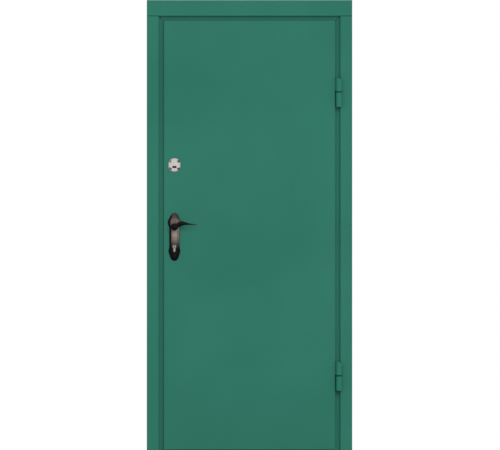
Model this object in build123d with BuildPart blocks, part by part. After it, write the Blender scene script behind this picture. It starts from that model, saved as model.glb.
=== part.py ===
from build123d import *
import os

# A steel entrance door hung in its frame, seen from outside along +Y. Lengths are in millimetres.
# The origin is on the threshold's underside, midway between the jambs, in the plane of the wall's face.

# The door set as a whole, and the widths that show round the leaf
set_width = 960
set_height = 2110
side_casing = 56
head_casing = 75
side_strip = 24
head_strip = 22
foot_gap = 8

# The frame: each member is one folded sheet, from the casing's lip round to the back flange
frame_sheet = 2
bend_radius = 3
casing_depth = 20
casing_lip = 16
rebate_inset = 34
frame_depth = 90
back_flange = 42
joint_groove = 0.8

# The anchor holes in the jambs' rebates
anchor_radius = 5.25
anchor_low = 250
anchor_drop = 252
anchor_count = 4
anchor_back = 28

# The threshold between the jambs
sill_plate = 3
threshold_step = 20
threshold_wall = 2

# The leaf: a front sheet with folded edges over a narrower box
leaf_sheet = 2
leaf_edge_depth = 15
leaf_body_depth = 40
leaf_body_gap = 8
leaf_body_foot = 28
box_sheet = 1.5
fit_gap = 0.3

# The seals in the leaf's folded edge
seal_width = 8.5
seal_side_gap = 0.5
seal_nose = 3

# The hinges: two halves with a drop-shaped section, turning on a pin
hinge_radius = 14
hinge_axis_inset = 18.5
hinge_axis_forward = 15
hinge_upper_length = 63
hinge_lower_length = 70
hinge_split_low = 354
hinge_split_drop = 332
hinge_bevel_width = 11
hinge_bevel_height = 14
frame_weld_length = 7
frame_weld_gap = 2.5
leaf_weld_length = 9
leaf_weld_inset = 2
washer_thickness = 1.5
washer_radius = 10.5
pin_radius = 7
pin_point = 1.5
pin_in_lower = 45
pin_in_upper = 42
pin_press_gap = 0.02
pin_run_gap = 0.06
pin_end_gap = 3

# The lever handle: its plate has a round head, a narrow waist and a rounded foot
handle_inset = 49
lever_height = 1049
plate_thickness = 12
plate_flank_width = 12
plate_flank_depth = 8
plate_head_radius = 31
plate_head_rise = 20
plate_crown_radius = 19
plate_crown_rise = 46
plate_waist = 48
plate_waist_round = 25
plate_foot_radius = 27.5
plate_foot_drop = 112
plate_tip_radius = 19
plate_tip_drop = 139

# The lever: a turned neck, a round hub and an arm that rises from it and thins towards its tip
neck_radius = 9
neck_gap = 0.3
hub_radius = 17
hub_thickness = 14
hub_crown = 4
lever_stand_off = 48
lever_reach = 104
tip_half_tall = 2.8
tip_half_deep = 4
spindle_side = 8
spindle_hole = 8
spindle_socket = 22
socket_gap = 0.05

# The profile cylinder below the lever
cylinder_drop = 92
cylinder_round = 8.5
cylinder_foot = 5
cylinder_tall = 33
cylinder_gap = 0.4
cylinder_proud = 2
key_slot_width = 2.4
key_slot_height = 9
key_slot_depth = 18

# The upper lock's escutcheon: a flange under a dome that is scooped out round its four screws
escutcheon_height = 1338
escutcheon_radius = 29
escutcheon_stretch = 8
flange_thickness = 3
dome_thickness = 6
dome_chamfer = 2.5
keyhole_width = 19
keyhole_tall = 7.5
keyhole_drop = 9
scoop_spread_x = 38
scoop_spread_z = 35
scoop_radius = 6.5

# The two locks in the leaf's edge, with their bolts drawn back
lock_depth = 42
lock_thickness = 16
lock_back = 20
face_plate_width = 24
face_plate_thickness = 3
pocket_gap = 1
main_lock_tall = 240
main_lock_drop = 164
upper_lock_tall = 154
lock_plate_margin = 14
lever_pack = 3
bolt_radius = 7
bolt_gap = 0.5
bolt_pitch = 26
main_bolts = 2
main_bolts_rise = 54
upper_bolts = 3
latch_width = 12
latch_tall = 22
latch_rise = 34
strike_thickness = 2
strike_gap = 1

# Sizes that follow from the ones above
half_set = set_width / 2
casing_inner = half_set - side_casing
leaf_half = casing_inner - side_strip
head_line = set_height - head_casing
leaf_top = head_line - head_strip
rebate = casing_inner - rebate_inset
head_rebate = head_line - rebate_inset
leaf_face = -casing_depth
leaf_edge_back = leaf_face + leaf_edge_depth
leaf_back = leaf_edge_back + leaf_body_depth
sheet_back = leaf_face + leaf_sheet
body_half = rebate - leaf_body_gap
body_top = head_rebate - leaf_body_gap
seal_outer = leaf_half - leaf_sheet - seal_side_gap
hinge_splits = (hinge_split_low, leaf_top - hinge_split_drop)
hinge_x = leaf_half + hinge_axis_inset
hinge_y = leaf_face - hinge_axis_forward
handle_x = handle_inset - leaf_half
cylinder_height = lever_height - cylinder_drop
keyhole_height = escutcheon_height - keyhole_drop
lock_centre = leaf_back - lock_back
latch_height = lever_height + latch_rise
main_lock_low = lever_height - main_lock_drop
upper_lock_low = escutcheon_height - upper_lock_tall / 2
main_bolts_height = main_lock_low + main_bolts_rise
anchor_pitch = (set_height - anchor_drop - anchor_low) / (anchor_count - 1)
anchor_heights = [anchor_low + anchor_pitch * i for i in range(anchor_count)]

outside = Plane.XZ.offset(-leaf_face)
inside = Plane.XZ.offset(-leaf_back)
middle = Plane.XZ.offset(-(leaf_face + leaf_back) / 2)
lock_edge = Plane.YZ.offset(-body_half)

os.makedirs("parts", exist_ok=True)


def write(piece, name):
    """Names a finished piece and writes its file."""
    piece.label = name
    export_step(piece, f"parts/{name}.step")


def member_path(outer, casing):
    """Middle of a frame member's folded sheet, from the casing's lip round to the back flange.
    outer is the distance of the casing's outer edge from the opening's middle or foot."""
    half = frame_sheet / 2
    inner = outer - casing + half
    step = inner - rebate_inset
    return [
        (outer - casing_lip, -half),
        (outer - half, -half),
        (outer - half, half - casing_depth),
        (inner, half - casing_depth),
        (inner, half),
        (step, half),
        (step, frame_depth - half),
        (step + back_flange, frame_depth - half),
    ]


def profile_section(gap):
    """The profile cylinder's outline, grown by gap: a round barrel over a narrow round-ended web."""
    web = cylinder_tall - cylinder_round - cylinder_foot
    with BuildSketch() as section:
        Circle(cylinder_round + gap)
        with Locations((0, -web / 2)):
            Rectangle(2 * (cylinder_foot + gap), web)
        with Locations((0, -web)):
            Circle(cylinder_foot + gap)
    return section.sketch


def drop_section(weld_start, weld_end):
    """A hinge half's outline: the barrel's circle drawn out by straight flanks to its weld."""
    with BuildSketch() as section:
        with BuildLine() as edges:
            CenterArc((hinge_x, hinge_y), hinge_radius, 0, 360)
            Line(weld_start, weld_end)
        make_hull(edges.edges())
    return section.sketch


def strike_slot(bolts):
    """The upright slot in the rebate that a row of bolts slides into."""
    with BuildSketch() as slot:
        SlotCenterToCenter(bolt_pitch * (bolts - 1), 2 * (bolt_radius + strike_gap), rotation=90)
    return slot.sketch


def latch_slot():
    """The opening in the rebate that the latch springs into."""
    with BuildSketch() as slot:
        Rectangle(latch_width + 2 * strike_gap, latch_tall + 2 * strike_gap)
    return slot.sketch


# The corner between jamb and head, seen from outside. Behind the strip's sheet the members are
# mitred all the way and meet; in front of it the head's casing runs over the side casing, with a groove
# for the weld.
corner = (casing_inner, head_line)
mitre_start = (casing_inner - head_line, 0)
above = 2 * set_height
mitred = [mitre_start, corner, (set_width, head_line + set_width - casing_inner)]
butted = [mitre_start, corner, (set_width, head_line)]

with BuildPart() as jamb_hinge_side:
    with BuildSketch():
        with BuildLine():
            FilletPolyline(*member_path(half_set, side_casing), radius=bend_radius - frame_sheet / 2)
        trace(line_width=frame_sheet)
    extrude(amount=set_height)
    for line, groove, reach in ((mitred, 0, -set_height), (butted, joint_groove, set_height)):
        with BuildSketch(Plane.XZ.offset(-frame_sheet)):
            with BuildLine():
                joint = [(x, z - groove) for x, z in line]
                Polyline(*joint, (set_width, above), (mitre_start[0], above), close=True)
            make_face()
        extrude(amount=reach, mode=Mode.SUBTRACT)
    with BuildSketch(Plane.YZ.offset(rebate)):
        with Locations(*[(frame_depth - anchor_back, z) for z in anchor_heights]):
            Circle(anchor_radius)
    extrude(amount=2 * frame_sheet, both=True, mode=Mode.SUBTRACT)

write(jamb_hinge_side.part, "jamb_hinge_side")

# The lock side's jamb has holes in its rebate for the bolts and the latch
with BuildPart() as jamb_lock_side:
    mirror(jamb_hinge_side.part, about=Plane.YZ)
    with BuildSketch(Plane.YZ.offset(-rebate)):
        with Locations((lock_centre, main_bolts_height)):
            add(strike_slot(main_bolts))
        with Locations((lock_centre, escutcheon_height)):
            add(strike_slot(upper_bolts))
        with Locations((lock_centre, latch_height)):
            add(latch_slot())
    extrude(amount=2 * frame_sheet, both=True, mode=Mode.SUBTRACT)

write(jamb_lock_side.part, "jamb_lock_side")

with BuildPart() as frame_head:
    with BuildSketch(Plane.ZY):
        with BuildLine():
            FilletPolyline(*member_path(set_height, head_casing), radius=bend_radius - frame_sheet / 2)
        trace(line_width=frame_sheet)
    extrude(amount=half_set, both=True)
    for line, reach in ((mitred, -set_height), (butted, set_height)):
        with BuildSketch(Plane.XZ.offset(-frame_sheet)):
            with BuildLine():
                Polyline(*line, (set_width, 0), close=True)
            make_face()
            mirror(about=Plane.YZ)
        extrude(amount=reach, mode=Mode.SUBTRACT)

write(frame_head.part, "frame_head")

# The threshold: a hollow profile on a flat foot, with a low step that the leaf's foot laps
with BuildPart() as threshold:
    with BuildSketch(Plane.YZ):
        with BuildLine():
            Polyline(
                (leaf_face, 0),
                (leaf_face, sill_plate),
                (0, sill_plate),
                (0, threshold_step),
                (frame_depth, threshold_step),
                (frame_depth, 0),
                close=True,
            )
        make_face()
        hollow_tall = threshold_step - threshold_wall - sill_plate
        with Locations((frame_depth / 2, sill_plate + hollow_tall / 2)):
            Rectangle(frame_depth - 2 * threshold_wall, hollow_tall, mode=Mode.SUBTRACT)
    extrude(amount=rebate - fit_gap, both=True)

write(threshold.part, "threshold")

# The leaf's front sheet is a shallow tray, open to the back, with holes for the lever and the keys
with BuildPart() as leaf_front_sheet:
    with BuildSketch(outside):
        with Locations((0, (foot_gap + leaf_top) / 2)):
            Rectangle(2 * leaf_half, leaf_top - foot_gap)
    extrude(amount=-leaf_edge_depth)
    chamfer(leaf_front_sheet.faces().sort_by(Axis.Y)[0].edges(), leaf_sheet / 2)
    offset(amount=-leaf_sheet, openings=leaf_front_sheet.faces().sort_by(Axis.Y)[-1])
    with BuildSketch(outside):
        with Locations((handle_x, lever_height)):
            Circle(spindle_hole)
        with Locations((handle_x, cylinder_height)):
            add(profile_section(cylinder_gap))
        with Locations((handle_x, keyhole_height)):
            SlotOverall(keyhole_width, keyhole_tall)
    extrude(amount=-leaf_edge_depth, mode=Mode.SUBTRACT)

write(leaf_front_sheet.part, "leaf_front_sheet")

# The leaf's back is a deeper tray, whose sides reach forward to the front sheet
with BuildPart() as leaf_back_tray:
    with BuildSketch(inside):
        with Locations((0, (leaf_body_foot + body_top) / 2)):
            Rectangle(2 * body_half, body_top - leaf_body_foot)
    extrude(amount=leaf_back - sheet_back)
    offset(amount=-box_sheet, openings=leaf_back_tray.faces().sort_by(Axis.Y)[0])
    with BuildSketch(inside):
        with Locations((handle_x, lever_height)):
            Circle(spindle_hole)
        with Locations((handle_x, cylinder_height)):
            add(profile_section(cylinder_gap))
        with Locations((handle_x, keyhole_height)):
            SlotOverall(keyhole_width, keyhole_tall)
    extrude(amount=box_sheet, mode=Mode.SUBTRACT)
    with BuildSketch(lock_edge):
        for low, tall in ((main_lock_low, main_lock_tall), (upper_lock_low, upper_lock_tall)):
            with Locations((lock_centre, low + tall / 2)):
                Rectangle(face_plate_width + 2 * fit_gap, tall + 2 * fit_gap)
    extrude(amount=box_sheet, mode=Mode.SUBTRACT)

write(leaf_back_tray.part, "leaf_back_tray")

# The filling is a slab between the two sheets, with a pocket for each lock
with BuildPart() as leaf_filling:
    with BuildSketch(Plane.XZ.offset(box_sheet - leaf_back)):
        with Locations((0, (leaf_body_foot + body_top) / 2)):
            Rectangle(2 * (body_half - box_sheet), body_top - leaf_body_foot - 2 * box_sheet)
    extrude(amount=leaf_back - box_sheet - sheet_back)
    with BuildSketch(inside):
        for low, tall in ((main_lock_low, main_lock_tall), (upper_lock_low, upper_lock_tall)):
            with Locations((-body_half, low + tall / 2)):
                Rectangle(2 * (lock_depth + face_plate_thickness + pocket_gap), tall + 2 * pocket_gap)
    extrude(amount=leaf_back - leaf_face, mode=Mode.SUBTRACT)

write(leaf_filling.part, "leaf_filling")

# The seals lie in the leaf's folded edge and press on the frame's strip with a tapered nose
seal_low = foot_gap + leaf_sheet + seal_side_gap
seal_high = leaf_top - leaf_sheet - seal_side_gap
seal_outline = [
    (0, sheet_back),
    (seal_width, sheet_back),
    (seal_width, -seal_nose),
    (seal_width * 2 / 3, -fit_gap),
    (seal_width / 3, -fit_gap),
    (0, -seal_nose),
]
for name, side in (("hinge_side", 1), ("lock_side", -1)):
    with BuildPart() as leaf_seal:
        with BuildSketch(Plane.XY.offset(seal_low)):
            with BuildLine():
                Polyline(*[(side * (seal_outer - across), y) for across, y in seal_outline], close=True)
            make_face()
        extrude(amount=seal_high - seal_low)
    write(leaf_seal.part, f"leaf_seal_{name}")

for name, edge, side in (("head", seal_high, -1), ("foot", seal_low, 1)):
    with BuildPart() as leaf_seal:
        with BuildSketch(Plane.YZ):
            with BuildLine():
                Polyline(*[(y, edge + side * across) for across, y in seal_outline], close=True)
            make_face()
        extrude(amount=seal_outer - seal_width - seal_side_gap, both=True)
    write(leaf_seal.part, f"leaf_seal_{name}")

# The two hinges. Each lower half is welded to the frame's strip, and each upper half to the leaf's
# folded edge; the leaf's weight goes through the washer.
frame_weld_start = leaf_half + frame_weld_gap
frame_weld = ((frame_weld_start, 0), (frame_weld_start + frame_weld_length, 0))
leaf_weld_start = leaf_face + leaf_weld_inset
leaf_weld = ((leaf_half, leaf_weld_start), (leaf_half, leaf_weld_start + leaf_weld_length))
for place, split_height in zip(("bottom", "top"), hinge_splits):
    lower_top = split_height - washer_thickness / 2
    upper_foot = lower_top + washer_thickness
    upper_top = upper_foot + hinge_upper_length

    with BuildPart() as lower_half:
        with BuildSketch(Plane.XY.offset(lower_top)):
            add(drop_section(*frame_weld))
        extrude(amount=-hinge_lower_length)
        with BuildSketch(Plane.XY.offset(lower_top)):
            with Locations((hinge_x, hinge_y)):
                Circle(pin_radius + pin_press_gap)
        extrude(amount=-pin_in_lower, mode=Mode.SUBTRACT)
    write(lower_half.part, f"hinge_{place}_lower")

    with BuildPart() as upper_half:
        with BuildSketch(Plane.XY.offset(upper_foot)):
            add(drop_section(*leaf_weld))
        extrude(amount=hinge_upper_length)
        with BuildSketch(Plane.XY.offset(upper_foot)):
            with Locations((hinge_x, hinge_y)):
                Circle(pin_radius + pin_run_gap)
        extrude(amount=pin_in_upper + pin_end_gap, mode=Mode.SUBTRACT)
        with BuildSketch(Plane.XZ):
            with BuildLine():
                Polyline(
                    (hinge_x + hinge_radius - hinge_bevel_width, upper_top),
                    (hinge_x + hinge_radius, upper_top - hinge_bevel_height),
                    (hinge_x + hinge_radius, upper_top),
                    close=True,
                )
            make_face()
        extrude(amount=set_width, both=True, mode=Mode.SUBTRACT)
    write(upper_half.part, f"hinge_{place}_upper")

    with BuildPart() as pin:
        with BuildSketch(Plane.XY.offset(lower_top - pin_in_lower)):
            with Locations((hinge_x, hinge_y)):
                Circle(pin_radius)
        extrude(amount=pin_in_lower + washer_thickness + pin_in_upper)
        chamfer(pin.edges().group_by(Axis.Z)[-1], pin_point)
    write(pin.part, f"hinge_{place}_pin")

    with BuildPart() as washer:
        with BuildSketch(Plane.XY.offset(lower_top)):
            with Locations((hinge_x, hinge_y)):
                Circle(washer_radius)
                Circle(pin_radius + pin_run_gap, mode=Mode.SUBTRACT)
        extrude(amount=washer_thickness)
    write(washer.part, f"hinge_{place}_washer")

# The handle's plate outside: round head, narrow waist and rounded foot, with broad sloping flanks
with BuildPart() as handle_plate_outside:
    with BuildSketch(outside) as outline:
        with BuildSketch(outside, mode=Mode.PRIVATE) as head:
            with Locations((handle_x, lever_height + plate_head_rise)):
                Circle(plate_head_radius)
            with Locations((handle_x, lever_height + plate_crown_rise)):
                Circle(plate_crown_radius)
        with BuildSketch(outside, mode=Mode.PRIVATE) as foot:
            with Locations((handle_x, lever_height - plate_foot_drop)):
                Circle(plate_foot_radius)
            with Locations((handle_x, lever_height - plate_tip_drop)):
                Circle(plate_tip_radius)
        make_hull(head.sketch_local.edges())
        make_hull(foot.sketch_local.edges())
        with Locations((handle_x, lever_height + (plate_head_rise - plate_foot_drop) / 2)):
            Rectangle(plate_waist, plate_head_rise + plate_foot_drop)
        waist_corners = [
            corner for corner in outline.vertices()
            if abs(abs(corner.X - handle_x) - plate_waist / 2) < fit_gap
        ]
        fillet(waist_corners, plate_waist_round)
    extrude(amount=plate_thickness)
    front = handle_plate_outside.faces().sort_by(Axis.Y)[0]
    chamfer(front.edges(), plate_flank_width, plate_flank_depth, reference=front)
    with BuildSketch(outside):
        with Locations((handle_x, lever_height)):
            Circle(neck_radius + neck_gap)
        with Locations((handle_x, cylinder_height)):
            add(profile_section(cylinder_gap))
    extrude(amount=plate_thickness, mode=Mode.SUBTRACT)

write(handle_plate_outside.part, "handle_plate_outside")

with BuildPart() as handle_plate_inside:
    mirror(handle_plate_outside.part, about=middle)

write(handle_plate_inside.part, "handle_plate_inside")

# The lever outside. Each section of its arm: distance from the axis, rise, half height, half depth.
arm_sections = [
    (6, 4, 13.5, 6.5),
    (20, 11, 13, 6.5),
    (31, 15, 12, 6.3),
    (43, 14, 8.7, 5.8),
    (64, 11.5, 5.2, 5),
    (lever_reach, 9, tip_half_tall, tip_half_deep),
]
arm_middle = leaf_face - lever_stand_off
hub_back = arm_middle + hub_thickness / 2
hub_front = arm_middle - hub_thickness / 2
hub_crown_radius = (hub_radius**2 + hub_crown**2) / (2 * hub_crown)
with BuildPart() as lever_outside:
    with BuildSketch(Plane.XY.offset(lever_height)):
        with BuildLine():
            side = Polyline(
                (handle_x, hub_front - hub_crown),
                (handle_x, leaf_face - fit_gap),
                (handle_x - neck_radius, leaf_face - fit_gap),
                (handle_x - neck_radius, hub_back + hub_radius - neck_radius),
                (handle_x - hub_radius, hub_back),
                (handle_x - hub_radius, hub_front),
            )
            RadiusArc(side @ 0, side @ 1, hub_crown_radius)
        make_face()
    revolve(axis=Axis((handle_x, 0, lever_height), (0, 1, 0)))
    for reach, rise, half_tall, half_deep in arm_sections:
        with BuildSketch(Plane.YZ.offset(handle_x + reach)):
            with Locations((arm_middle, lever_height + rise)):
                Ellipse(half_deep, half_tall)
    loft(ruled=True)
    with BuildSketch(outside.offset(fit_gap)):
        with Locations((handle_x, lever_height)):
            Rectangle(spindle_side + 2 * socket_gap, spindle_side + 2 * socket_gap)
    extrude(amount=spindle_socket, mode=Mode.SUBTRACT)

write(lever_outside.part, "lever_outside")

with BuildPart() as lever_inside:
    mirror(lever_outside.part, about=middle)

write(lever_inside.part, "lever_inside")

with BuildPart() as spindle:
    with BuildSketch(middle):
        with Locations((handle_x, lever_height)):
            Rectangle(spindle_side, spindle_side)
    extrude(amount=(leaf_back - leaf_face) / 2 + spindle_socket, both=True)

write(spindle.part, "spindle")

# The profile cylinder passes through the leaf, the main lock and both plates
cylinder_end = plate_thickness + cylinder_proud
with BuildPart() as profile_cylinder:
    with BuildSketch(middle):
        with Locations((handle_x, cylinder_height)):
            add(profile_section(0))
    extrude(amount=(leaf_back - leaf_face) / 2 + cylinder_end, both=True)
    for face, inward in ((outside.offset(cylinder_end), -1), (inside.offset(-cylinder_end), 1)):
        with BuildSketch(face):
            with Locations((handle_x, cylinder_height)):
                Rectangle(key_slot_width, key_slot_height)
        extrude(amount=inward * key_slot_depth, mode=Mode.SUBTRACT)

write(profile_cylinder.part, "profile_cylinder")

# The upper lock's escutcheon outside: a flange, and a dome scooped out round each screw
with BuildPart() as escutcheon_outside:
    with BuildSketch(outside):
        with Locations((handle_x, escutcheon_height)):
            SlotCenterToCenter(escutcheon_stretch, 2 * escutcheon_radius, rotation=90)
    extrude(amount=flange_thickness)
    with BuildSketch(outside.offset(flange_thickness)):
        with Locations((handle_x, escutcheon_height)):
            SlotCenterToCenter(escutcheon_stretch, 2 * escutcheon_radius, rotation=90)
    extrude(amount=dome_thickness - flange_thickness)
    front = escutcheon_outside.faces().sort_by(Axis.Y)[0]
    chamfer(front.edges(), 2 * dome_chamfer, dome_chamfer, reference=front)
    with BuildSketch(outside.offset(flange_thickness)):
        with Locations((handle_x, escutcheon_height)):
            with GridLocations(scoop_spread_x, scoop_spread_z, 2, 2):
                Circle(scoop_radius)
    extrude(amount=dome_thickness, mode=Mode.SUBTRACT)
    with BuildSketch(outside):
        with Locations((handle_x, keyhole_height)):
            SlotOverall(keyhole_width, keyhole_tall)
    extrude(amount=dome_thickness, mode=Mode.SUBTRACT)

write(escutcheon_outside.part, "escutcheon_outside")

with BuildPart() as escutcheon_inside:
    mirror(escutcheon_outside.part, about=middle)

write(escutcheon_inside.part, "escutcheon_inside")

# The two locks: a closed case behind a face plate in the leaf's edge, with a strike plate behind the
# rebate's sheet. The bolts reach from the case to the plate's face. Keys enter the upper case from both
# sides, as far as the pack of levers in its middle.
case_face = Plane.YZ.offset(face_plate_thickness - body_half)
locks = (
    ("main", main_lock_low, main_lock_tall, main_bolts, main_bolts_height),
    ("upper", upper_lock_low, upper_lock_tall, upper_bolts, escutcheon_height),
)
for name, low, tall, bolt_count, bolts_height in locks:
    centre = (lock_centre, low + tall / 2)

    with BuildPart() as face_plate:
        with BuildSketch(lock_edge):
            with Locations(centre):
                Rectangle(face_plate_width, tall)
            with Locations((lock_centre, bolts_height)):
                with GridLocations(0, bolt_pitch, 1, bolt_count):
                    Circle(bolt_radius + bolt_gap, mode=Mode.SUBTRACT)
            if name == "main":
                with Locations((lock_centre, latch_height)):
                    Rectangle(latch_width + 2 * bolt_gap, latch_tall + 2 * bolt_gap, mode=Mode.SUBTRACT)
        extrude(amount=face_plate_thickness)
    write(face_plate.part, f"lock_face_plate_{name}")

    with BuildPart() as lock_case:
        with BuildSketch(case_face):
            with Locations(centre):
                Rectangle(lock_thickness, tall - 2 * lock_plate_margin)
        extrude(amount=lock_depth)
        with BuildSketch(inside):
            if name == "main":
                with Locations((handle_x, lever_height)):
                    Circle(spindle_hole)
                with Locations((handle_x, cylinder_height)):
                    add(profile_section(cylinder_gap))
            else:
                with Locations((handle_x, keyhole_height)):
                    SlotOverall(keyhole_width, keyhole_tall)
        extrude(amount=leaf_back - leaf_face, mode=Mode.SUBTRACT)
        if name == "upper":
            with BuildSketch(Plane.XZ.offset(-lock_centre - lever_pack / 2)):
                with Locations((handle_x, keyhole_height)):
                    Rectangle(keyhole_width, keyhole_tall)
            extrude(amount=lever_pack)
    write(lock_case.part, f"lock_case_{name}")

    with BuildPart() as lock_bolts:
        with BuildSketch(lock_edge):
            with Locations((lock_centre, bolts_height)):
                with GridLocations(0, bolt_pitch, 1, bolt_count):
                    Circle(bolt_radius)
        extrude(amount=face_plate_thickness)
    write(lock_bolts.part, f"lock_bolts_{name}")

    with BuildPart() as strike_plate:
        with BuildSketch(Plane.YZ.offset(-rebate - frame_sheet)):
            with Locations(centre):
                Rectangle(face_plate_width, tall)
            with Locations((lock_centre, bolts_height)):
                add(strike_slot(bolt_count), mode=Mode.SUBTRACT)
            if name == "main":
                with Locations((lock_centre, latch_height)):
                    add(latch_slot(), mode=Mode.SUBTRACT)
        extrude(amount=-strike_thickness)
    write(strike_plate.part, f"strike_plate_{name}")

# The spring latch stands drawn back, level with its face plate
with BuildPart() as latch_bolt:
    with BuildSketch(lock_edge):
        with Locations((lock_centre, latch_height)):
            Rectangle(latch_width, latch_tall)
    extrude(amount=face_plate_thickness)

write(latch_bolt.part, "latch_bolt")
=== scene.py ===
import math

import bpy
import numpy as np
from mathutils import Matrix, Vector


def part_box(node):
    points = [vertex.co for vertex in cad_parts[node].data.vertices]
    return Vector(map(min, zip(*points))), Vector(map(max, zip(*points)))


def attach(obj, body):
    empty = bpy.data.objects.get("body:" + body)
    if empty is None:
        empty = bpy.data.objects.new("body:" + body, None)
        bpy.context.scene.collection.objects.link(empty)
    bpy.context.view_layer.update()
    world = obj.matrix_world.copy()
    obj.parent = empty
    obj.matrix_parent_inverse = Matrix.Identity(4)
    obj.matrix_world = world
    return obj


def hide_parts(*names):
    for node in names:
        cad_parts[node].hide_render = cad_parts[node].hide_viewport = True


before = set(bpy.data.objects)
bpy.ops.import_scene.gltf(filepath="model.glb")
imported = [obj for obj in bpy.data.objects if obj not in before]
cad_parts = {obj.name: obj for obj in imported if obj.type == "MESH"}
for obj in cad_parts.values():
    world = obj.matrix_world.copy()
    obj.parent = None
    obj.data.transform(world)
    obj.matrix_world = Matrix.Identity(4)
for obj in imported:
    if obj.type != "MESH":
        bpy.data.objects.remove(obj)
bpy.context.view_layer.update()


# The room round the door: a plain pale floor and a white backdrop, with soft light from the upper right, a
# weaker one behind and an even sky. The camera looks straight at the door's outside without perspective.
class Shade:
    """A socket of a shader tree that Python's operators work on as on a number."""

    def __init__(self, tree, socket=None):
        self.tree, self.socket = tree, socket

    def node(self, kind, settings=None, sockets=None, out=0):
        """Adds a node: first its settings, with stops as a ramp's (position, colour) pairs, then the
        values or links of its sockets, by name or number."""
        made = self.tree.nodes.new(kind)
        for name, value in (settings or {}).items():
            if name == "stops":
                ramp = made.color_ramp.elements
                while len(ramp) < len(value):
                    ramp.new(1.0)
                for stop, (position, colour) in zip(ramp, value):
                    stop.position, stop.color = position, colour
            else:
                setattr(made, name, value)
        for name, value in (sockets or {}).items():
            if isinstance(value, Shade):
                self.tree.links.new(value.socket, made.inputs[name])
            else:
                made.inputs[name].default_value = value
        return Shade(self.tree, made.outputs[out] if made.outputs else None)

    def math(self, operation, first, second=0.0):
        return self.node("ShaderNodeMath", {"operation": operation}, {0: first, 1: second})

    def __add__(self, other):
        return self.math("ADD", self, other)

    def __sub__(self, other):
        return self.math("SUBTRACT", self, other)

    def __rsub__(self, other):
        return self.math("SUBTRACT", other, self)

    def __mul__(self, other):
        return self.math("MULTIPLY", self, other)

    def __truediv__(self, other):
        return self.math("DIVIDE", self, other)

    def __pow__(self, other):
        return self.math("POWER", self, other)

    def __abs__(self):
        return self.math("ABSOLUTE", self)

    __radd__, __rmul__ = __add__, __mul__

    def ramp(self, low, high):
        """0 where this is under low, 1 over high, and a smooth step between (low may be the larger)."""
        return self.node(
            "ShaderNodeMapRange",
            {"interpolation_type": "SMOOTHSTEP"},
            {"Value": self, "From Min": low, "From Max": high},
        )

    def mix(self, first, second):
        """The colour first where this is 0 and second where it is 1."""
        return self.node("ShaderNodeMix", {"data_type": "RGBA"}, {0: self, 6: first, 7: second}, out=2)

    def along(self, axis):
        """One part of this place: 0, 1 or 2 for X, Y or Z."""
        return self.node("ShaderNodeSeparateXYZ", None, {0: self}, out=axis)

    def moved(self, location=(0, 0, 0), scale=(1, 1, 1)):
        """This place scaled and then shifted, part by part."""
        return self.node("ShaderNodeMapping", None, {0: self, "Location": location, "Scale": scale})

    def noise(self, scale, detail=2.0, rough=0.5):
        """Cloudy noise about 0.5 at this place, with scale clouds to the metre."""
        sockets = {"Vector": self, "Scale": scale, "Detail": detail, "Roughness": rough}
        return self.node("ShaderNodeTexNoise", None, sockets)


def colour(red, green, blue):
    """A linear colour from the three parts of an sRGB one, each 0 to 255."""
    parts = np.array([red, green, blue]) / 255
    linear = np.where(parts > 0.04045, ((parts + 0.055) / 1.055) ** 2.4, parts / 12.92)
    return (*(round(float(p), 5) for p in linear), 1.0)


sky_light = 0.62
room = bpy.data.worlds.new("room")
room.use_nodes = True
room.node_tree.nodes.clear()
sky = Shade(room.node_tree)
rays = [sky.node("ShaderNodeLightPath", out=name) for name in
        ("Is Camera Ray", "Is Glossy Ray", "Is Transmission Ray")]
# white to the camera, in mirrors and through glass, and weaker as light
seen = sky.math("MAXIMUM", sky.math("MAXIMUM", rays[0], rays[1]), rays[2])
strength = seen * (1 - sky_light) + sky_light
backdrop = sky.node("ShaderNodeBackground", None, {"Color": (1.0, 1.0, 1.0, 1.0), "Strength": strength})
sky.node("ShaderNodeOutputWorld", None, {"Surface": backdrop})
bpy.context.scene.world = room

floor_reach = 8.0
floor_mesh = bpy.data.meshes.new("floor")
corners = floor_reach * np.array([(-1, -1, 0), (1, -1, 0), (1, 1, 0), (-1, 1, 0)], float)
floor_mesh.from_pydata(corners.tolist(), [], [(0, 1, 2, 3)])
floor = bpy.data.objects.new("floor", floor_mesh)
bpy.context.scene.collection.objects.link(floor)
pale = bpy.data.materials.new("pale_floor")
pale.use_nodes = True
pale.node_tree.nodes.clear()
ground = Shade(pale.node_tree)
spot = ground.node("ShaderNodeTexCoord", out="Object")
tone = spot.noise(1.5).mix(colour(232, 232, 230), colour(238, 238, 236))
matt = ground.node("ShaderNodeBsdfPrincipled", None, {"Base Color": tone, "Roughness": 0.9})
ground.node("ShaderNodeOutputMaterial", None, {"Surface": matt})
floor_mesh.materials.append(pale)

window_spread, window_tilt = 32, 70
for name, energy, turn in (("window", 1.15, 10), ("back_window", 0.8, 195)):
    lamp = bpy.data.lights.new(name, "SUN")
    lamp.energy = energy
    lamp.angle = math.radians(window_spread)
    window = bpy.data.objects.new(name, lamp)
    window.rotation_euler = (math.radians(window_tilt), 0.0, math.radians(turn))
    bpy.context.scene.collection.objects.link(window)

picture_width = 2.337
lens = bpy.data.cameras.new("lens")
lens.type = "ORTHO"
lens.ortho_scale = picture_width
lens.clip_end = 50.0
camera = bpy.data.objects.new("camera", lens)
camera.location = (0.0023, -4.0, 1.0580)
camera.rotation_euler = (math.radians(90), 0.0, 0.0)
bpy.context.scene.collection.objects.link(camera)
bpy.context.scene.camera = camera
bpy.context.scene.view_settings.view_transform = "Standard"


# The frame's jambs and head. Each is one strip of 2 mm steel, folded into casing, strip, rebate and back
# flange. They are welded behind their corner joints and coated with a satin polymer paint. The paint is
# darkened along the joints: painted shade in the grooves, with some dust.
materials = {}


def start(name):
    """A new material's empty tree: gives the place on the object, in metres, to build on."""
    material = bpy.data.materials.new(name)
    material.use_nodes = True
    material.node_tree.nodes.clear()
    materials[name] = material
    return Shade(material.node_tree).node("ShaderNodeTexCoord", out="Object")


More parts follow.
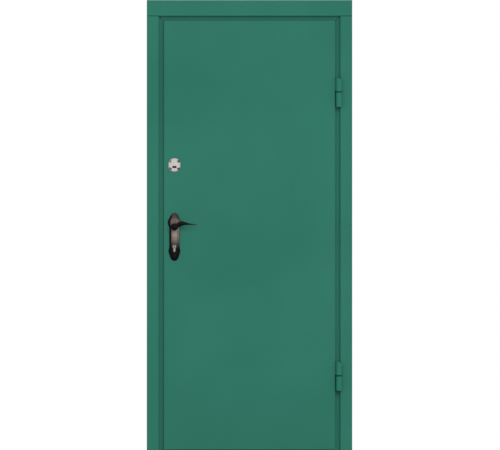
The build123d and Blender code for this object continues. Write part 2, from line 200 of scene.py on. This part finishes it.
def finish(name, base, roughness, metallic=0.0, normal=None, **constants):
    """The material on a Principled shader. base, roughness, metallic and normal may vary over the
    surface, and constants are the shader's own sockets, with _ for each space."""
    sockets = {"Base Color": base, "Roughness": roughness, "Metallic": metallic}
    if normal:
        sockets["Normal"] = normal
    sockets.update({key.replace("_", " "): value for key, value in constants.items()})
    shader = base.node("ShaderNodeBsdfPrincipled", None, sockets)
    base.node("ShaderNodeOutputMaterial", None, {"Surface": shader})
    return materials[name]


def bump(height, distance, strength=1.0):
    """A normal that follows height, which is worth distance metres from 0 to 1."""
    sockets = {"Height": height, "Distance": distance, "Strength": strength}
    return height.node("ShaderNodeBump", None, sockets)


def paint(name, bare=None, grime_and_shade=None):
    """Satin green paint with a fine orange peel. From 0 to 1, bare is where it has worn off the steel, and
    the third argument marks where it is darkened: by oil or dust, and by painted shade in joints and
    splits."""
    peel_height = 0.0002
    place = start(name)
    peel = place.noise(420, 2.0)
    green = place.noise(1.6, 3.0).ramp(0.35, 0.65).mix(colour(40, 113, 95), colour(44, 118, 100))
    rough = place.noise(9, 3.0) * 0.10 + 0.42
    if grime_and_shade:
        # darker green where oil or dust lies and where shade is painted in
        shade_and_grime = grime_and_shade(place)
        green, rough = shade_and_grime.mix(green, colour(5, 44, 33)), rough - shade_and_grime * 0.1
    if not bare:
        return finish(name, green, rough, normal=bump(peel, peel_height, 0.35), Specular_IOR_Level=0.1)
    worn = bare(place)
    steel = place.noise(300, 2.0).mix(colour(120, 120, 122), colour(168, 168, 170))
    return finish(name, worn.mix(green, steel), rough - worn * 0.1, metallic=worn * 0.9,
                  normal=bump(peel * (1 - worn), peel_height, 0.35), Specular_IOR_Level=0.1)


def dress(material, *names):
    """Gives a material to the model's own pieces of these names."""
    for name in names:
        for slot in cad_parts[name].material_slots:
            slot.material = material


def skin(name, shells, body, material, soft=40):
    """A piece of closed shells. Each shell is an array of rows of points, every row a loop: quads join
    the neighbouring points of neighbouring rows, and a fan of triangles to its middle closes the first
    row and the last. A shell whose volume, a sixth of the sum of its corners' triple products, comes
    out negative has its faces turned round. Edges over soft degrees stay sharp."""
    points, faces, count = [], [], 0
    for shell in shells:
        rows, columns, _ = shell.shape
        here = np.arange(rows * columns).reshape(rows, columns)
        beside = np.roll(here, -1, axis=1)
        middles = rows * columns + np.arange(2)[:, None].repeat(columns, 1)
        quads = np.stack([here[:-1], here[1:], beside[1:], beside[:-1]], -1).reshape(-1, 4)
        fans = np.vstack([np.stack([here[0], beside[0], middles[0]], -1),
                          np.stack([beside[-1], here[-1], middles[1]], -1)])
        own_points = np.vstack([shell.reshape(-1, 3), shell[0].mean(0), shell[-1].mean(0)])
        corners = own_points[np.vstack([quads[:, :3], quads[:, [0, 2, 3]], fans])]
        turn = -1 if (corners[:, 0] * np.cross(corners[:, 1], corners[:, 2])).sum() < 0 else 1
        faces += (quads[:, ::turn] + count).tolist() + (fans[:, ::turn] + count).tolist()
        points.append(own_points)
        count += len(own_points)
    mesh = bpy.data.meshes.new(name)
    mesh.from_pydata(np.vstack(points).tolist(), [], faces)
    mesh.shade_smooth()
    mesh.set_sharp_from_angle(angle=math.radians(soft))
    mesh.materials.append(material)
    piece = bpy.data.objects.new(name, mesh)
    bpy.context.scene.collection.objects.link(piece)
    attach(piece, body)
    return piece


def bead(path, radius, ripple=0.0028):
    """A weld bead along a path of points: a tube whose radius swells and shrinks by an eighth over each
    ripple, as a sine of the distance run, and falls to nothing over a radius at both ends. Its rings of
    ten points stand square to the path, five to a ripple. A ring's first axis is square to slanted too,
    a direction that no bead runs in."""
    slanted = (0.41, 0.82, 0.4)
    path = np.array(path, float)
    run = np.append(0, np.cumsum(np.linalg.norm(np.diff(path, axis=0), axis=1)))
    at = np.linspace(0, run[-1], int(run[-1] / ripple * 5))
    line = np.stack([np.interp(at, run, path[:, axis]) for axis in range(3)], -1)
    ahead = np.gradient(line, axis=0)
    ahead /= np.linalg.norm(ahead, axis=1)[:, None]
    across = np.cross(ahead, slanted)
    across /= np.linalg.norm(across, axis=1)[:, None]
    over = np.cross(ahead, across)
    left = np.clip(np.minimum(at, run[-1] - at) / radius, 0.02, 1)
    swell = radius * (1 + np.sin(at * 2 * np.pi / ripple) / 8) * np.sqrt(left)
    around = np.linspace(0, 2 * np.pi, 10, endpoint=False)[:, None]
    ring = across[:, None] * np.cos(around) + over[:, None] * np.sin(around)
    return line[:, None] + swell[:, None, None] * ring


# how far the side casings' inner edges lie from the middle, and how high the head's lower edge lies
casing_inner, head_line = 0.424, 2.035
jamb_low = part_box("jamb_hinge_side")[0]
sheet = 0.002
rebate, casing_back = jamb_low.x, jamb_low.y + sheet


def joint_dust_and_shade(place):
    """Painted shade with some dust along the butt joints between the head's casing and the jambs', and the
    mitres of their strips, where the grooves lie in shade.
    """
    past = abs(place.along(0)) - casing_inner
    rise = place.along(2) - head_line
    butt = abs(rise).ramp(0.0020, 0.0006) * past.ramp(-0.0005, 0.0) * place.along(1).ramp(-0.014, -0.018)
    mitre = (abs(rise - past).ramp(0.0028, 0.0008) * past.ramp(0.0005, 0.0)
             * abs(place.along(1)).ramp(0.0030, 0.0020))
    return (butt + mitre) * 0.75


# the frame's paint is darker along its joints: painted shade in the grooves, with some dust
frame_paint = paint("frame_paint", grime_and_shade=joint_dust_and_shade)
dress(frame_paint, "jamb_hinge_side", "jamb_lock_side", "frame_head")
for name, side in (("hinge_side", 1), ("lock_side", -1)):
    # behind the casing's butt joint, and on across the back of the strip along its mitre
    seam = np.array([
        (casing_inner + 0.0545, casing_back + 0.0012, head_line - 0.0004),
        (casing_inner + 0.0035, casing_back + 0.0012, head_line - 0.0004),
        (casing_inner + 0.0020, sheet + 0.0010, head_line + 0.0010),
        (rebate + 0.0035, sheet + 0.0010, head_line - casing_inner + rebate + 0.0030),
    ]) * (side, 1, 1)
    skin(f"corner_weld_{name}", [bead(seam, radius=0.0015)], "frame", frame_paint)

# The threshold: a step folded from steel sheet, painted like the frame and welded between its jambs. Feet
# have worn the paint off its front edge.
step_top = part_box("threshold")[1].z


def tread(place):
    """Bare along the step's front edge, broken up by scuffs."""
    near = (abs(place.along(1)) + abs(place.along(2) - step_top)).ramp(0.009, 0.001)
    return near * place.moved(scale=(0.25, 1, 1)).noise(90, 4.0, 0.7).ramp(0.50, 0.66) * 0.8


dress(paint("threshold_paint", bare=tread), "threshold")

# The leaf: a steel front sheet, whose edges are folded back, on a steel tray that closes it behind. Both
# are painted together, before the locks and the seals go in.
dress(paint("leaf_paint"), "leaf_front_sheet", "leaf_back_tray")

# The leaf's filling: a slab of pressed mineral wool, cut out for the locks and shut in between the sheets.
# It is seen only where a lock is taken out.
place = start("mineral_wool")
fibres = place.moved(scale=(1, 1, 6)).noise(240, 4.0, 0.7)
straw = fibres.ramp(0.3, 0.7).mix(colour(150, 130, 82), colour(196, 178, 128))
wool = finish("mineral_wool", straw, 0.95, normal=bump(fibres, 0.001, 0.8))
dress(wool, "leaf_filling")

# The seals: four strips of black sponge rubber, glued on inside the leaf's folded edge, where the shut
# leaf presses them against the frame.
place = start("sponge_rubber")
pores = place.noise(900, 3.0)
black = pores.ramp(0.3, 0.7).mix(colour(18, 18, 18), colour(34, 34, 34))
rubber = finish("sponge_rubber", black, 0.8, normal=bump(pores, 0.0003, 0.6))
dress(rubber, "leaf_seal_hinge_side", "leaf_seal_lock_side", "leaf_seal_head", "leaf_seal_foot")

# The hinges: drawn steel halves, welded on both sides of their narrow edge, the lower ones to the strip
# and the upper ones to the leaf. Paint covers welds and washers. The dark ring at the split is oil that
# has crept out there and painted shade of the split.
leaf_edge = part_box("leaf_front_sheet")[1].x


def upright(x, y, low, high, radius):
    """A weld bead straight up one side of a hinge half's narrow edge, from height low to height high."""
    return bead([(x, y, low), (x, y, high)], radius)


for end in ("bottom", "top"):
    washer_low, washer_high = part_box(f"hinge_{end}_washer")
    split = (washer_low.z + washer_high.z) / 2

    def split_oil_and_shade(place, split=split):
        """Oil and painted shade in a narrow ring at the split between the halves, running down a little
        way in places.
        """
        above = (place.along(2) - split).ramp(0.0030, 0.0018)
        runs = place.moved(scale=(1, 1, 0.1)).noise(150, 1.0).ramp(0.35, 0.75) * 0.0030 + 0.0036
        return above * ((split - place.along(2)) / runs).ramp(1.2, 0.6) * 0.9

    hinge_paint = paint(f"hinge_paint_{end}", grime_and_shade=split_oil_and_shade)
    lower_low, lower_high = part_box(f"hinge_{end}_lower")
    upper_low, upper_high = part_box(f"hinge_{end}_upper")
    dress(hinge_paint, f"hinge_{end}_lower", f"hinge_{end}_upper")
    skin(f"hinge_{end}_frame_weld", [
        upright(lower_low.x, -0.0006, lower_low.z + 0.003, lower_high.z - 0.003, 0.0014),
        upright(lower_low.x + 0.0078, -0.0008, lower_low.z + 0.002, lower_high.z - 0.003, 0.0018),
    ], "frame", hinge_paint)
    weld_foot, weld_top = upper_low.z + 0.003, upper_high.z - 0.004
    skin(f"hinge_{end}_leaf_weld", [
        upright(leaf_edge + 0.0006, upper_high.y + 0.0006, weld_foot, weld_top, 0.0014),
        upright(leaf_edge + 0.0004, upper_high.y - 0.0096, weld_foot, weld_top, 0.0009),
    ], "leaf", hinge_paint)

# The hinge pins, the handle's spindle, the bolts and the latch: bright steel, turned or drawn. The pins
# are pressed into the hinges' lower halves, and the rest slides or turns in the locks.
fine_grain = 0.00005
place = start("bright_steel")
turning = place.moved(scale=(1, 1, 30)).noise(60, 2.0)
bright = turning.mix(colour(150, 150, 152), colour(190, 190, 192))
steel = finish("bright_steel", bright, turning * 0.15 + 0.2, metallic=1.0,
               normal=bump(turning, fine_grain, 0.4))
dress(steel, "hinge_bottom_pin", "hinge_top_pin", "spindle", "lock_bolts_main", "lock_bolts_upper",
      "latch_bolt")

# The hinge washers: turned brass rings on the pins, which carry the upper halves. The paint has run over
# them, painted near black as shade in the split, and brass shows only where it has rubbed through.
place = start("washer_brass")
film = place.noise(350, 3.0).ramp(0.62, 0.72)
# the paint film near black: painted shade of the split between the halves
brass = finish("washer_brass", film.mix(colour(5, 40, 30), colour(120, 96, 50)), 0.5 - film * 0.2,
               metallic=film * 0.9, normal=bump(film, fine_grain, 0.4), Specular_IOR_Level=0.2)
dress(brass, "hinge_bottom_washer", "hinge_top_washer")

# The locks: zinc plated cases behind face plates, with strike plates behind the rebate. Each face plate
# and strike has a low screw at either end, and a long one through the main lock holds the cylinder.
dull_zinc, clear_zinc = colour(160, 163, 166), colour(196, 198, 200)
place = start("zinc_plate")
grain = place.moved(scale=(1, 1, 0.1)).noise(500, 2.0)
spangle = place.noise(60, 3.0)
zinc = finish("zinc_plate", spangle.mix(dull_zinc, clear_zinc), grain * 0.2 + 0.3, metallic=1.0,
              normal=bump(grain, fine_grain, 0.4))
dress(zinc, "lock_case_main", "lock_face_plate_main", "lock_face_plate_upper",
      "strike_plate_main", "strike_plate_upper")


def turned(centre, out, radii, heights, flats=None, count=36):
    """Rows of points round the axis that leaves centre along out: row i lies heights[i] along it and
    radii[i] from it, or where flats[i] is 1 on the hexagon with that inner radius, which is radii[i]
    over the cosine of the angle from the middle of the nearest side."""
    around = np.linspace(0, 2 * np.pi, count, endpoint=False)
    out = np.array(out, float)
    side = np.cross(out, (0, 0, 1.0) if out[2] == 0 else (1.0, 0, 0))
    ring = np.cos(around)[:, None] * side + np.sin(around)[:, None] * np.cross(side, out)
    hexagon = 1 / np.cos(around % (np.pi / 3) - np.pi / 6)
    reach = np.array(radii)[:, None] * np.where(np.array(flats or [0] * len(radii))[:, None], hexagon, 1)
    return np.array(centre, float) + reach[..., None] * ring + np.array(heights)[:, None, None] * out


def screw(centre, out, radius, proud, seat=0.0006):
    """A socket head: a domed disc, proud over its seat, with a hexagonal hole."""
    key = radius * 0.5
    radii = [key, key, key * 1.16, radius * 0.80, radius * 0.95, radius, radius]
    heights = [-seat, proud * 0.93, proud, proud * 0.93, proud * 0.6, proud * 0.2, -seat]
    return turned(centre, out, radii, heights, flats=[1, 1, 0, 0, 0, 0, 0])


place = start("dark_screw")
wipe = place.noise(700, 2.0)
dark_screw = finish("dark_screw", wipe.mix(colour(34, 32, 32), colour(58, 55, 54)), wipe * 0.2 + 0.35,
                    metallic=0.7, normal=bump(wipe, fine_grain, 0.4))
latch_low, latch_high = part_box("latch_bolt")
edge_y = (latch_low.y + latch_high.y) / 2
screw_inset, cylinder_screw_rise = 0.008, 0.009
for name in ("main", "upper"):
    face_low, face_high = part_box(f"lock_face_plate_{name}")
    ends = [face_low.z + screw_inset, face_high.z - screw_inset]
    heights = list(ends)
    if name == "main":
        heights.append(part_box("profile_cylinder")[0].z + cylinder_screw_rise)
    skin(f"face_plate_screws_{name}",
         [screw((face_low.x, edge_y, z), (-1, 0, 0), radius=0.0036, proud=0.0005) for z in heights],
         "leaf", zinc)
    skin(f"strike_screws_{name}",
         [screw((-rebate, edge_y, z), (1, 0, 0), radius=0.0036, proud=0.0005) for z in ends],
         "frame", zinc)

# The handle's plates: cast bronze with a broad flank round a slightly crowned face, patinated nearly black
# and rubbed bright by hands on head and stem. Painted light makes them lighter still on the lever's side
# and round the crown, as if lit from the upper right. Two screws, whose heads show inside, clamp them to
# the leaf.
spindle_low, spindle_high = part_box("spindle")
handle_x = (spindle_low.x + spindle_high.x) / 2
lever_z = (spindle_low.z + spindle_high.z) / 2
leaf_middle = (spindle_low.y + spindle_high.y) / 2
plate_low, plate_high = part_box("handle_plate_outside")
leaf_face = plate_high.y
plate_top, plate_foot = plate_high.z - lever_z, plate_low.z - lever_z
rim_height, flank_width, flank_height, plate_crown = 0.004, 0.012, 0.008, 0.0006
plate_screw_rises = (0.044, -0.128)


def arcs(*chain, step=0.0006):
    """Even points along a chain of arcs joined by straight lines. Each arc is (x, z, radius, from, to),
    with its angles in degrees."""
    points = []
    for x, z, radius, first, last in chain:
        turn = np.radians(np.linspace(first, last, 40))
        points.append(np.stack([x + radius * np.cos(turn), z + radius * np.sin(turn)], -1))
    points = np.vstack(points)
    run = np.append(0, np.cumsum(np.linalg.norm(np.diff(points, axis=0), axis=1)))
    at = np.linspace(0, run[-1], int(run[-1] / step))
    return np.stack([np.interp(at, run, points[:, 0]), np.interp(at, run, points[:, 1])], -1)


def mirrored(shells):
    """The same shells on the leaf's other side: y is taken twice the leaf's middle less itself."""
    return [shell * (1, -1, 1) + (0, 2 * leaf_middle, 0) for shell in shells]


# the right half of the outline, down from the crown: crown, head, hollow, hollow, foot and tip
outline = arcs(
    (0, 0.046, 0.019, 90, 27.49),
    (0, 0.020, 0.031, 27.49, -28.96),
    (0.049, -0.00711, 0.025, 151.04, 180),
    (0.049, -0.09315, 0.025, 180, 201.04),
    (0, -0.112, 0.0275, 21.04, -18.35),
    (0, -0.139, 0.019, -18.35, -90),
)


def cast_plate():
    """Rows across the plate, each over its front and back along its flat back. A front point's height is
    the rim's and a flank that rises evenly with the distance from the outline, blended by a soft minimum
    into the flank's full height, and a low crown that falls with the square of the place across. Within
    rim_round of the outline the edge drops by rim_drop times the square of 1 less gap over rim_round."""
    soft, rim_round, rim_drop, crown_reach = 0.0004, 0.0008, 0.0006, 0.02
    middle, reach = (plate_top + plate_foot) / 2, (plate_top - plate_foot) / 2
    z = middle + reach * np.sin(np.linspace(-1.56, 1.56, 180))
    half = np.interp(-z, -outline[:, 1], outline[:, 0])
    share = np.linspace(0, 1, 19) ** 1.5
    across = np.concatenate([share - 1, (1 - share[:-1])[::-1]])
    x = half[:, None] * across
    edge = np.vstack([outline, outline * (-1, 1)])
    gap = np.hypot(x[..., None] - edge[:, 0], z[:, None, None] - edge[:, 1]).min(-1)
    slope = gap / flank_width * flank_height
    flank = -soft * np.log(np.exp(-slope / soft) + np.exp(-flank_height / soft))
    height = rim_height + flank + plate_crown * (1 - across**2) * np.clip(gap / crown_reach, 0, 1)
    height -= rim_drop * np.clip(1 - gap / rim_round, 0, 1) ** 2
    front = np.stack([handle_x + x, leaf_face - height, lever_z + z[:, None] + 0 * x], -1)
    back = front[:, [-1, 0]]
    back[..., 1] = leaf_face
    return [np.concatenate([front, back], axis=1)]


def bronze(name, crown, dark=(5, 4, 4), bright=(124, 116, 108), tint=(118, 98, 92)):
    """Antique bronze: crown, from 0 to 1, is where hands have rubbed the dark patina thin."""
    place = start(name)
    rub = crown(place) * (place.noise(55, 4.0, 0.6).ramp(0.2, 0.55) * 0.5 + 0.5)
    worn = place.noise(25, 2.0).ramp(0.35, 0.65).mix(colour(*tint), colour(*bright))
    return finish(name, rub.mix(colour(*dark), worn), 0.5 - rub * 0.12, metallic=rub * 0.5 + 0.3,
                  normal=bump(place.noise(600, 3.0), 0.0001, 0.5), Specular_IOR_Level=0.12)


def hand_wear_and_light(place):
    """Hands' wear high on the face of head and stem, fading towards the foot and the crown. Painted light
    adds to it on the side of the lever's arm, and there and round the crown takes it down the flank too."""
    across, rise = place.along(0) - handle_x, place.along(2) - lever_z
    # painted light: more rubbed bright towards the arm's side and round the crown, as if lit from the
    # upper right
    flank = (across.ramp(0.006, 0.018) + rise.ramp(0.044, 0.058)).ramp(0.0, 1.0) * 0.0055
    high = (abs(place.along(1) - leaf_middle) - (leaf_middle - leaf_face) + flank).ramp(0.0085, 0.0118)
    low = rise.ramp(-0.106, -0.035)
    top = rise.ramp(0.048, 0.030) * 0.3 + 0.3
    head = rise.ramp(-0.005, 0.012)
    side = (across.ramp(-0.024, -0.006) + rise.ramp(0.044, 0.058)).ramp(0.0, 1.0) * 0.6 + 0.4
    return high * low * side * (1 - head + head * top)


plate_bronze = bronze("plate_bronze", hand_wear_and_light)
plate = cast_plate()
plate_outside = skin("cast_plate_outside", plate, "leaf", plate_bronze, soft=50)
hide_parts("handle_plate_outside")
plate_inside = skin("cast_plate_inside", mirrored(plate), "leaf", plate_bronze, soft=50)
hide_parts("handle_plate_inside")
inner_front = 2 * leaf_middle - leaf_face + rim_height + flank_height
skin("handle_plate_screws",
     [screw((handle_x, inner_front, lever_z + rise), (0, 1, 0), radius=0.0042, proud=0.0016)
      for rise in plate_screw_rises],
     "leaf", plate_bronze)

# The levers: cast bronze with a turned neck, a domed hub and an arm that rises from it and thins to its
# tip, black all over but for the tip. A small screw under each neck grips the spindle.
lever_low, lever_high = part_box("lever_outside")
neck_end, hub_top = leaf_face - lever_high.y, leaf_face - lever_low.y
arm_end = lever_high.x - handle_x
# along the arm: reach, rise, half height, half depth, distance from the leaf
arm_sections = np.array([
    (0.000, 0.0000, 0.0120, 0.0090, 0.0485),
    (0.010, 0.0040, 0.0126, 0.0086, 0.0484),
    (0.020, 0.0098, 0.0120, 0.0080, 0.0482),
    (0.029, 0.0146, 0.0118, 0.0072, 0.0480),
    (0.037, 0.0160, 0.0105, 0.0065, 0.0480),
    (0.047, 0.0158, 0.0077, 0.0057, 0.0480),
    (0.060, 0.0142, 0.0050, 0.0050, 0.0480),
    (0.078, 0.0120, 0.0033, 0.0044, 0.0480),
    (arm_end, 0.0103, 0.0026, 0.0040, 0.0480),
])


def through(table, at):
    """Values of a table of rows (place, value, ...) at other places, by cubics that pass through every
    row with the slope of its neighbours."""
    knots, values = table[:, 0], table[:, 1:]
    slopes = np.gradient(values, knots, axis=0)
    span = np.clip(np.searchsorted(knots, at, side="right") - 1, 0, len(knots) - 2)
    wide = (knots[span + 1] - knots[span])[:, None]
    way = ((at - knots[span]) / wide[:, 0])[:, None]
    start_share, end_share = 1 - 3 * way**2 + 2 * way**3, 3 * way**2 - 2 * way**3
    start_lean, end_lean = way - 2 * way**2 + way**3, way**3 - way**2
    return (start_share * values[span] + end_share * values[span + 1]
            + wide * (start_lean * slopes[span] + end_lean * slopes[span + 1]))


def cast_lever():
    """Two shells. The hub is turned, with a neck that sweeps out to it by the 1.6th power and a dome that
    falls with the square of the radius. The arm is an oval at each reach, round at its tip as an arc."""
    neck_radius, hub_radius, dome_radius, round_end = 0.009, 0.017, 0.0156, 0.0035
    sweep_foot, sweep_length, dome_foot = 0.033, 0.008, 0.0554
    sweep = np.linspace(0, 1, 9)
    dome = np.linspace(1, 0.04, 9)
    radii = np.concatenate([[neck_radius], neck_radius + (hub_radius - neck_radius) * sweep**1.6,
                            [hub_radius, 0.0167, 0.0160], dome_radius * dome])
    heights = np.concatenate([[neck_end], sweep_foot + sweep_length * sweep, [0.0535, 0.0547, 0.0552],
                              dome_foot + (hub_top - dome_foot) * (1 - dome**2)])
    hub = turned((handle_x, leaf_face, lever_z), (0, -1, 0), radii, heights, count=64)
    at = np.concatenate([np.linspace(0.0, arm_end - round_end, 70),
                         arm_end - round_end * (1 - np.sin(np.linspace(0.1, 1.55, 12)))])
    rise, tall, deep, away = through(arm_sections, at).T
    shrink = np.sqrt(np.clip(1 - ((at - arm_end + round_end) / round_end).clip(0) ** 2, 0, 1))
    around = np.linspace(0, 2 * np.pi, 40, endpoint=False)
    ovals = np.stack([0 * around + (handle_x + at)[:, None],
                      leaf_face - away[:, None] + (deep * shrink)[:, None] * np.sin(around),
                      lever_z + rise[:, None] + (tall * shrink)[:, None] * np.cos(around)], -1)
    return [hub, ovals]


lever_bronze = bronze("lever_bronze", lambda place: (place.along(0) - handle_x).ramp(0.060, 0.100) * 0.3)
lever = cast_lever()
lever_outside = skin("cast_lever_outside", lever, "lever", lever_bronze)
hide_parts("lever_outside")
lever_inside = skin("cast_lever_inside", mirrored(lever), "lever", lever_bronze)
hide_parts("lever_inside")
under_neck = (handle_x, leaf_face - 0.022, lever_z - 0.0088)
grub = [screw(under_neck, (0, 0, -1), radius=0.0022, proud=0.0004)]
skin("grub_screws", grub + mirrored(grub), "lever", dark_screw)

# The profile cylinder: nickel plated brass, pushed through leaf, lock and plates. On its end faces a dark
# ring round the plug is painted shade of the groove, and a dark key-slot shape is painted shade of the
# slot, with some of the keys' grease.
place = start("cylinder_nickel")
brushed = place.moved(scale=(1, 1, 12)).noise(120, 3.0)
cylinder_low, cylinder_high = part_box("profile_cylinder")
plug_z = cylinder_high.z - (cylinder_high.x - cylinder_low.x) / 2
plug_radius = 0.0063
across, rise = place.along(0) - handle_x, place.along(2) - plug_z
end_faces = (abs(place.along(1) - leaf_middle) - (leaf_middle - cylinder_low.y)).ramp(-0.0006, -0.0003)
# painted shade on the end faces: a dark ring for the plug's groove and a dark key-slot shape, with some
# grease
plug_groove_shade = abs((across * across + rise * rise) ** 0.5 - plug_radius).ramp(0.0005, 0.0002)
key_slot_grease_and_shade = (abs(across) * 2.2 + abs(rise) * 0.75 + brushed * 0.002).ramp(0.0062, 0.0034) * 0.8
dark = end_faces * (plug_groove_shade + key_slot_grease_and_shade).ramp(0.0, 1.0)
plating = brushed.mix(colour(104, 103, 98), colour(130, 129, 123))
nickel = finish("cylinder_nickel", dark.mix(plating, colour(30, 27, 24)), brushed * 0.15 + 0.3,
                metallic=0.9 - dark * 0.6, normal=bump(brushed, fine_grain, 0.4))
dress(nickel, "profile_cylinder")

# The upper lock's escutcheons: satin nickel domes, scooped out round four dark socket screws. The key goes
# through a slot to the levers in the lock's case, which are painted dark there as shade, with grease. The
# scoops' floors are darker in blotches, painted shade with some soil, and round the slot the nickel is
# painted near black as shade.
escutcheon_low, escutcheon_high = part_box("escutcheon_outside")
escutcheon_x = (escutcheon_low.x + escutcheon_high.x) / 2
escutcheon_z = (escutcheon_low.z + escutcheon_high.z) / 2
keyhole_z = escutcheon_z - 0.009
flange, slot_half_width = 0.003, 0.0058
screw_out, screw_up = 0.0185, 0.0170
place = start("satin_nickel")
satin = place.noise(500, 2.0)
deep = (abs(place.along(1) - leaf_middle) - (leaf_middle - escutcheon_high.y)).ramp(0.0042, 0.0031)
beside = place.math("MAXIMUM", abs(place.along(0) - escutcheon_x) - slot_half_width, 0.0)
above = place.along(2) - keyhole_z
# near black round the key slot: painted shade
keyhole_shade = ((beside * beside + above * above) ** 0.5 + place.noise(400, 2.0) * 0.0012).ramp(0.0062, 0.0044)
# darker in blotches on the scoops' floors: painted shade with some soil
scoop_soil_and_shade = deep * place.noise(120, 3.0).ramp(0.25, 0.6)
clean = place.noise(30, 2.0).mix(colour(158, 155, 153), colour(171, 169, 167))
pale_nickel = finish("satin_nickel", keyhole_shade.mix(scoop_soil_and_shade.mix(clean, colour(70, 67, 64)), colour(12, 7, 7)),
                     satin * 0.1 + 0.38, metallic=0.85 * (1 - keyhole_shade), normal=bump(satin, fine_grain, 0.3))
dress(pale_nickel, "escutcheon_outside", "escutcheon_inside")
for name, face, out in (("outside", escutcheon_high.y - flange, -1),
                        ("inside", 2 * leaf_middle - escutcheon_high.y + flange, 1)):
    skin(f"escutcheon_screws_{name}",
         [screw((escutcheon_x + x, face, escutcheon_z + z), (0, out, 0), radius=0.0040, proud=0.0024)
          for x in (-screw_out, screw_out) for z in (-screw_up, screw_up)],
         "leaf", dark_screw)

# The upper lock's case: zinc plated steel, fixed behind its face plate in the leaf's edge. Where its
# levers show through the escutcheons' slots it is painted black, as shade inside the case, with the keys'
# grease.
shaded_half_width, shaded_half_height = 0.0105, 0.0045
place = start("lock_case_zinc")
rolled = place.noise(200, 3.0)
# black round the keyhole: painted shade inside the case, with some grease
beside_key = (abs(place.along(0) - escutcheon_x) - shaded_half_width).ramp(0.0, -0.0015)
grime_and_shade = beside_key * (abs(place.along(2) - keyhole_z) - shaded_half_height).ramp(0.0, -0.0007)
case_zinc = finish("lock_case_zinc", grime_and_shade.mix(rolled.mix(dull_zinc, clear_zinc), colour(14, 6, 6)),
                   rolled * 0.2 + 0.3, metallic=1 - grime_and_shade, normal=bump(rolled, fine_grain, 0.4),
                   Specular_IOR_Level=0.1)
dress(case_zinc, "lock_case_upper")
